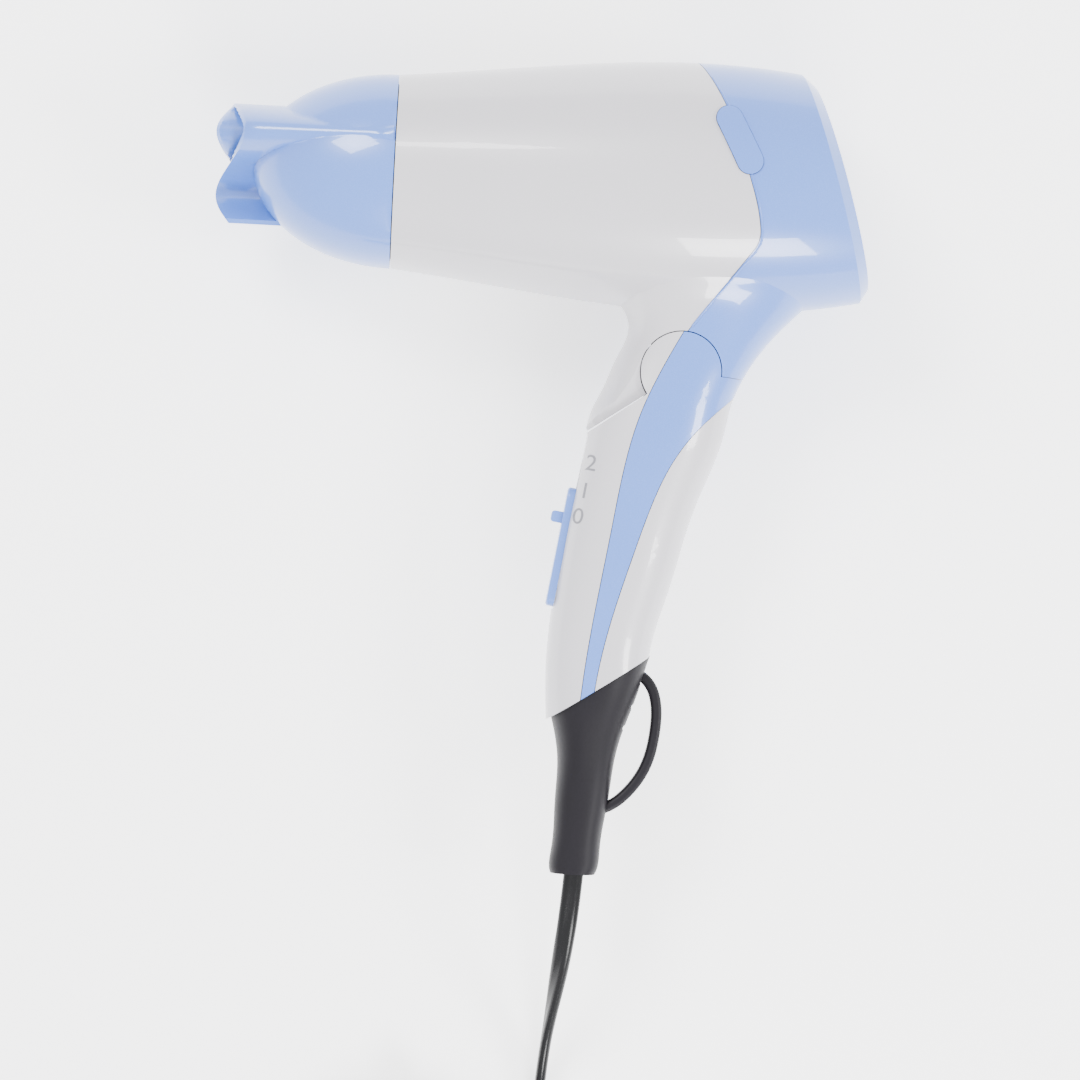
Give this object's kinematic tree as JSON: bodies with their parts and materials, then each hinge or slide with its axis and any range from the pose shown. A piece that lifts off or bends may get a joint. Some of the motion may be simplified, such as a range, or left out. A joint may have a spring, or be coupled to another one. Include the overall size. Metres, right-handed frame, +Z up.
{
  "type": "travel hair dryer",
  "caption": "Compact folding hair dryer with a turning concentrator nozzle, sliding switch, hanging loop and a mains lead wound into a tied coil.",
  "frame": {"origin": "bottom centre of the dryer's box, on the surface it lies on, without its lead", "axes": "+X along the barrel from nozzle to inlet, +Y from the handle up to the barrel, +Z up from the surface, across the dryer"},
  "size_m": [0.2187, 0.3947, 0.0707],
  "materials": {
    "pearl_white": "pearl gloss, off-white",
    "pearl_blue": "pearl gloss, light blue",
    "rubber_black": "satin black",
    "cord_black": "gloss black",
    "screen_white": "satin white",
    "steel": "zinc plated",
    "pin_metal": "nickel-plated brass",
    "motor_metal": "plated can",
    "inner_plastic": "black heat-proof moulding",
    "duct_plastic": "natural moulding",
    "mica": "mica sheet",
    "winding": "resistance wire",
    "circuit": "circuit board",
    "lead_red": "insulated leads",
    "fuse_metal": "plated"
  },
  "bodies": {
    "handle": {"handle_front_shell": "pearl_white", "handle_rear_shell": "pearl_blue", "handle_back_cover": "pearl_white", "cover_screws": "steel", "hinge_pin": "steel", "detent_ball": "steel", "detent_spring": "steel", "switch_body": "inner_plastic", "strain_relief": "rubber_black", "hanging_loop": "rubber_black", "inner_flex": "cord_black", "cord_clamp": "inner_plastic", "clamp_screws": "steel", "lead_wires": "lead_red", "mains_cord": "cord_black", "cord_coil": "cord_black", "cord_tie": "cord_black", "plug_lead": "cord_black", "plug_body": "rubber_black", "plug_pins": "pin_metal"},
    "head": {"front_shell": "pearl_white", "rear_shell": "pearl_blue", "side_cap_left": "pearl_blue", "side_cap_right": "pearl_blue", "shell_screws": "steel", "inlet_screen": "screen_white", "hinge_knuckle": "inner_plastic", "outlet_collar": "inner_plastic", "outlet_grille": "inner_plastic", "heater_tube": "mica", "heater_board_upright": "mica", "heater_board_level": "mica", "heater_windings": "winding", "thermostat": "fuse_metal", "thermal_fuse": "fuse_metal", "motor_can": "motor_metal", "rectifier_board": "circuit", "fan_duct": "duct_plastic", "head_leads": "lead_red"},
    "nozzle": {"concentrator": "pearl_blue"},
    "fan": {"motor_shaft": "steel", "fan_impeller": "inner_plastic"},
    "switch": {"switch_slider": "pearl_blue", "switch_stem": "inner_plastic"}
  },
  "joints": [
    {"name": "fold", "type": "hinge", "parent": "handle", "child": "head", "pos_m": [0.03963, 0.0272, 0.03527], "axis": [0, 0, 1], "range_deg": [0, 60]},
    {"name": "nozzle_turn", "type": "hinge", "parent": "head", "child": "nozzle", "pos_m": [-0.04278, 0.0795, 0.03527], "axis": [1, 0, 0], "continuous": true},
    {"name": "fan_spin", "type": "hinge", "parent": "head", "child": "fan", "pos_m": [0.05722, 0.0795, 0.03527], "axis": [1, 0, 0], "continuous": true},
    {"name": "switch_slide", "type": "slide", "parent": "handle", "child": "switch", "axis": [0.1444, 0.9895, 0], "range_m": [0, 0.0152]}
  ]
}
